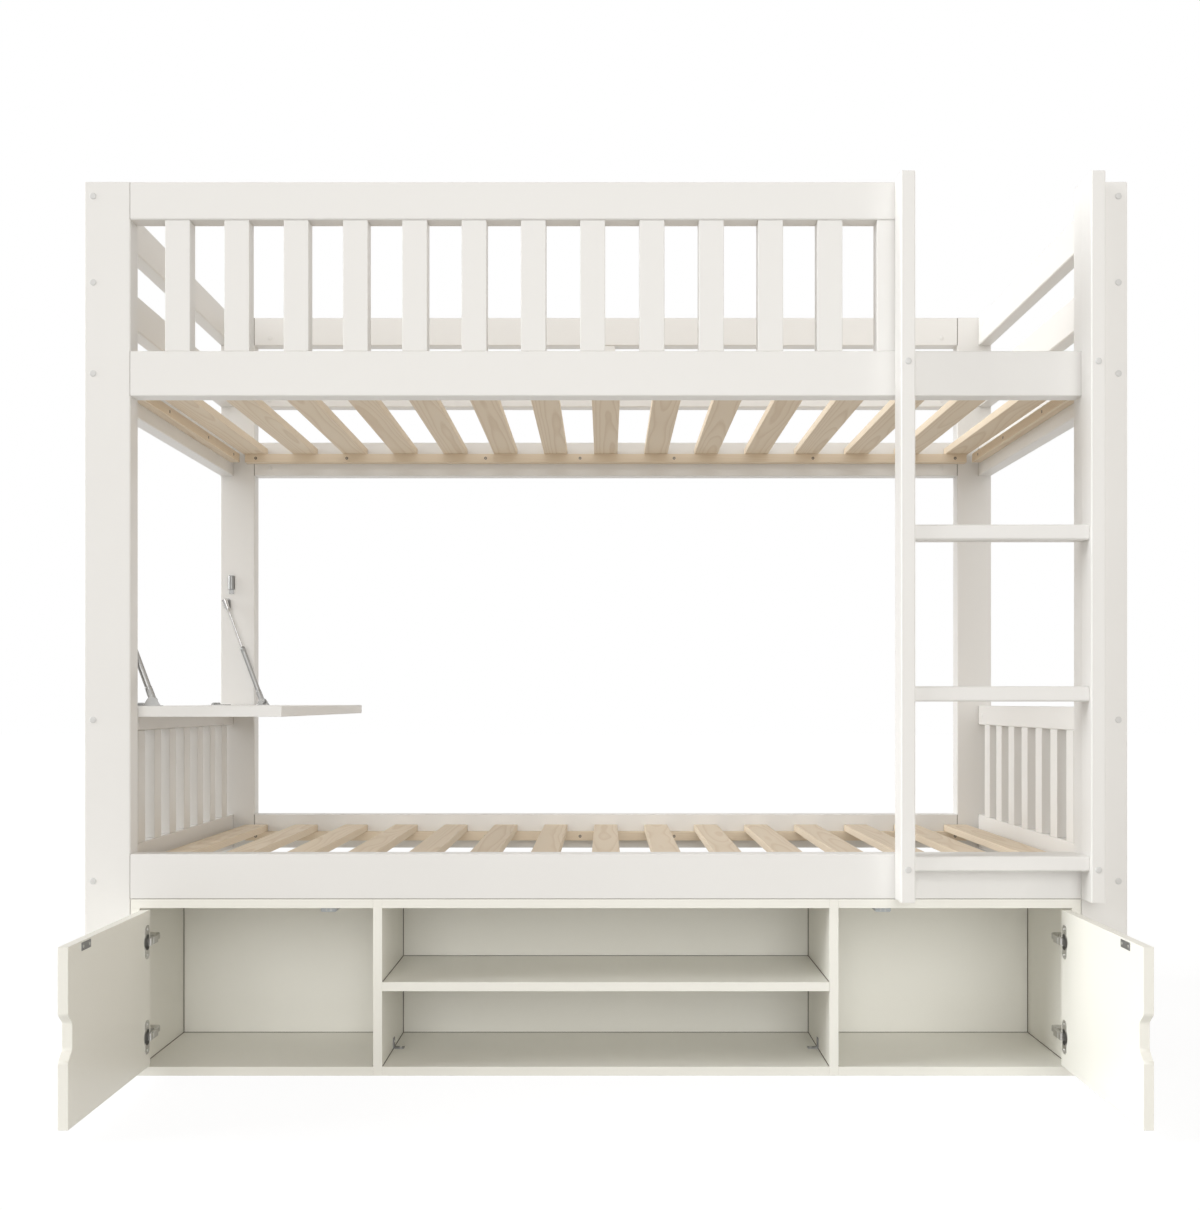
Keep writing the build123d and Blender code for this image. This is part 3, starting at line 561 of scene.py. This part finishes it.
for name, plane, look in (("back", bed_back - 0.019, -1), ("front", front + 0.069, 1)):
    at_foot = facing(foot + Vector((0, plane, 0)), strut.normalized())
    for part, profile, material in collars:
        collar = bmesh.new()
        turned(collar, at_foot, profile)
        piece(f"strut_{part}_{name}", collar, material, f"strut_tube_{name}", "satin_steel")
    nut = bmesh.new()
    turned(nut, at_foot, hexagon, sides=6)
    piece(f"strut_lock_nut_{name}", nut, zinc, f"strut_rod_{name}", "chrome", smooth=20)
    for aside in (-0.0120, 0.0120):
        spot = facing((foot.x + aside, plane + look * 0.0010, 0.73825), (0, 0, 1))
        cross_head(bracket_screws, spot, radius=0.0030, proud=0.0012)
    for rise in (-0.0098, 0.0098):
        spot = facing((pivot.x, plane - look * 0.0170, pivot.z + rise), (0, look, 0))
        cross_head(stud_screws, spot, radius=0.0026, proud=0.0008)
piece("desk_bracket_screws", bracket_screws, zinc, "desk", "satin_steel")
piece("stud_plate_screws", stud_screws, zinc, "frame", "satin_steel")


# Desk catches: chromed barrel catches on the two left posts, which grip the folded desk.
# Each is a plate with a sprung barrel, a shade darker than the polished rods.
barrel_chrome = metal("barrel_chrome", (0.25, 0.247, 0.24), 0.24, (1, 1, 1))
dress(["desk_catches"], barrel_chrome)
nodes["desk_catches"].data.shade_smooth()
nodes["desk_catches"].data.set_sharp_from_angle(angle=math.radians(35))


# Bolt caps: white moulded caps, 13 mm across, pushed into the bores over the bolts' heads.
# Their rims are rounded and they stand 1.5 mm proud of the lacquer.
dome = [(0.0064, 0), (0.0065, 0.0006), (0.0062, 0.0011), (0.0055, 0.0014)]
dome += [(0.0030, 0.0015), (0, 0.0015)]
bed_rear, post_middle, post_face, rail_middle = 0.78125, 1.022, 1.040, 0.0225
end_bolts = (0.388, 0.7095, 1.400, 1.5815, 1.7535)
bed_bolts, guard_bolts = (0.373, 1.376), (1.5585, 1.7265)
caps = bmesh.new()
for side in (-1, 1):
    for z in end_bolts:
        turned(caps, facing((side * post_middle, front, z), (0, -1, 0)), dome)
        turned(caps, facing((side * post_middle, bed_rear, z), (0, 1, 0)), dome)
    for z in bed_bolts:
        turned(caps, facing((side * post_face, front + rail_middle, z), (side, 0, 0)), dome)
    for z in bed_bolts + guard_bolts:
        turned(caps, facing((side * post_face, bed_back + rail_middle, z), (side, 0, 0)), dome)
top_guard = (-post_face, front + rail_middle, guard_bolts[1])
turned(caps, facing(top_guard, (-1, 0, 0)), dome)
for x in (0.590, 0.961):
    for z in (0.4175, 1.410):
        turned(caps, facing((x, front - 0.065, z), (0, -1, 0)), dome)
cap_plastic = moulded("cap_plastic", (0.66, 0.655, 0.645), 0.24)
cap_piece = piece("bolt_cap_domes", caps, cap_plastic, "frame", "cap_plastic")
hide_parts("bolt_caps")


# Nut covers: thin white discs pressed into the bores of the cross nuts,
# on the faces of the rails that look into the bed.
disc = [(0.0061, 0), (0.0061, 0.0004), (0.0056, 0.0008), (0, 0.0008)]
long_nut, end_nut = 0.906, 1.005
covers = bmesh.new()
for side in (-1, 1):
    for z in bed_bolts + guard_bolts:
        turned(covers, facing((side * long_nut, bed_back, z), (0, -1, 0)), disc)
    for z in bed_bolts + (guard_bolts[1:] if side < 0 else ()):
        turned(covers, facing((side * long_nut, front + 0.045, z), (0, 1, 0)), disc)
    for z in end_bolts:
        for y in (front + 0.092, bed_back - 0.042):
            turned(covers, facing((side * end_nut, y, z), (-side, 0, 0)), disc)
cover_plastic = moulded("cover_plastic", (0.80, 0.79, 0.77), 0.35)
piece("nut_covers", covers, cover_plastic, "frame", "cap_plastic")


# Floor: a pale studio sweep that keeps only a faint shadow of the bed.
# The camera and the metals see it white; the bed gets a plain bounce from it.
sweep = bmesh.new()
bmesh.ops.create_grid(sweep, size=30.0)
sweep_data = bpy.data.meshes.new("floor")
sweep.to_mesh(sweep_data)
sweep.free()
floor = bpy.data.objects.new("floor", sweep_data)
bpy.context.scene.collection.objects.link(floor)


def seen(finish):
    """1 for what the camera, a reflection or a view through glass meets."""
    camera_ray, glossy_ray, glass_ray = (
        finish.node("ShaderNodeLightPath", {}, {}, f"Is {kind} Ray")
        for kind in ("Camera", "Glossy", "Transmission")
    )
    return camera_ray.maths("MAXIMUM", camera_ray + glossy_ray, glass_ray)


floor_finish = Finish("studio_floor")
bounce = floor_finish.node("ShaderNodeBsdfDiffuse", {}, {"Color": (0.80, 0.80, 0.80, 1)})
shade = floor_finish.node("ShaderNodeBsdfDiffuse", {}, {"Color": (0.13, 0.13, 0.13, 1)})
glow = floor_finish.node("ShaderNodeEmission", {}, {"Color": (1, 1, 1, 1), "Strength": 0.91})
white = floor_finish.node("ShaderNodeAddShader", {}, {0: shade, 1: glow})
both = floor_finish.node("ShaderNodeMixShader", {}, {0: seen(floor_finish), 1: bounce, 2: white})
floor_finish.put(floor_finish.tree.nodes["Material Output"].inputs["Surface"], both)
sweep_data.materials.append(floor_finish.material)


# Light: an even warm-white studio, a large cool source at the upper left that brightens the
# faces that look left, a wide one in front that reaches into the cabinet, and a weak warm one
# at the right.
studio = bpy.data.worlds.new("studio")
studio.use_nodes = True
bpy.context.scene.world = studio


class Sky(Finish):
    """The world's own nodes, with the same way of adding them."""

    def __init__(self, world):
        self.tree = world.node_tree


sky = Sky(studio)
fill = sky.node("ShaderNodeBackground", {}, {"Color": (1.0, 0.925, 0.820, 1), "Strength": 0.34})
backdrop = sky.node("ShaderNodeBackground", {}, {"Color": (1, 1, 1, 1), "Strength": 1.0})
mixed = sky.node("ShaderNodeMixShader", {}, {0: seen(sky), 1: fill, 2: backdrop})
sky.put(sky.tree.nodes["World Output"].inputs["Surface"], mixed)


def lamp(name, toward, level, spread, colour):
    """A large far source. Level 1 lights a face square to it as bright as its colour says."""
    data = bpy.data.lights.new(name, "SUN")
    data.energy = level * math.pi
    data.angle = math.radians(spread)
    data.color = colour
    made = bpy.data.objects.new(name, data)
    made.rotation_euler = Vector(toward).to_track_quat("Z", "Y").to_euler()
    bpy.context.scene.collection.objects.link(made)


lamp("key", (-0.95, -0.06, 0.36), 0.95, 36, (0.960, 0.985, 1.0))
lamp("front", (0.0, -1.0, 0.28), 0.38, 40, (0.985, 0.995, 1.0))
lamp("right", (0.95, -0.22, 0.30), 0.22, 60, (1.0, 0.960, 0.900))


# Camera: level, square on to the bed's front at a standing child's eye height.
# The shift sets the frame as the photograph has it.
lens = bpy.data.cameras.new("camera")
lens.lens = 44.63
lens.sensor_width = 36.0
lens.shift_x = -0.0048
lens.shift_y = 0.0802
lens.clip_end = 100.0
camera = bpy.data.objects.new("camera", lens)
camera_reach, eye_height = 2.990, 0.745
camera.location = (0, front - camera_reach, eye_height)
camera.rotation_euler = (math.pi / 2, 0, 0)
bpy.context.scene.collection.objects.link(camera)
bpy.context.scene.camera = camera
bpy.context.scene.view_settings.view_transform = "Standard"
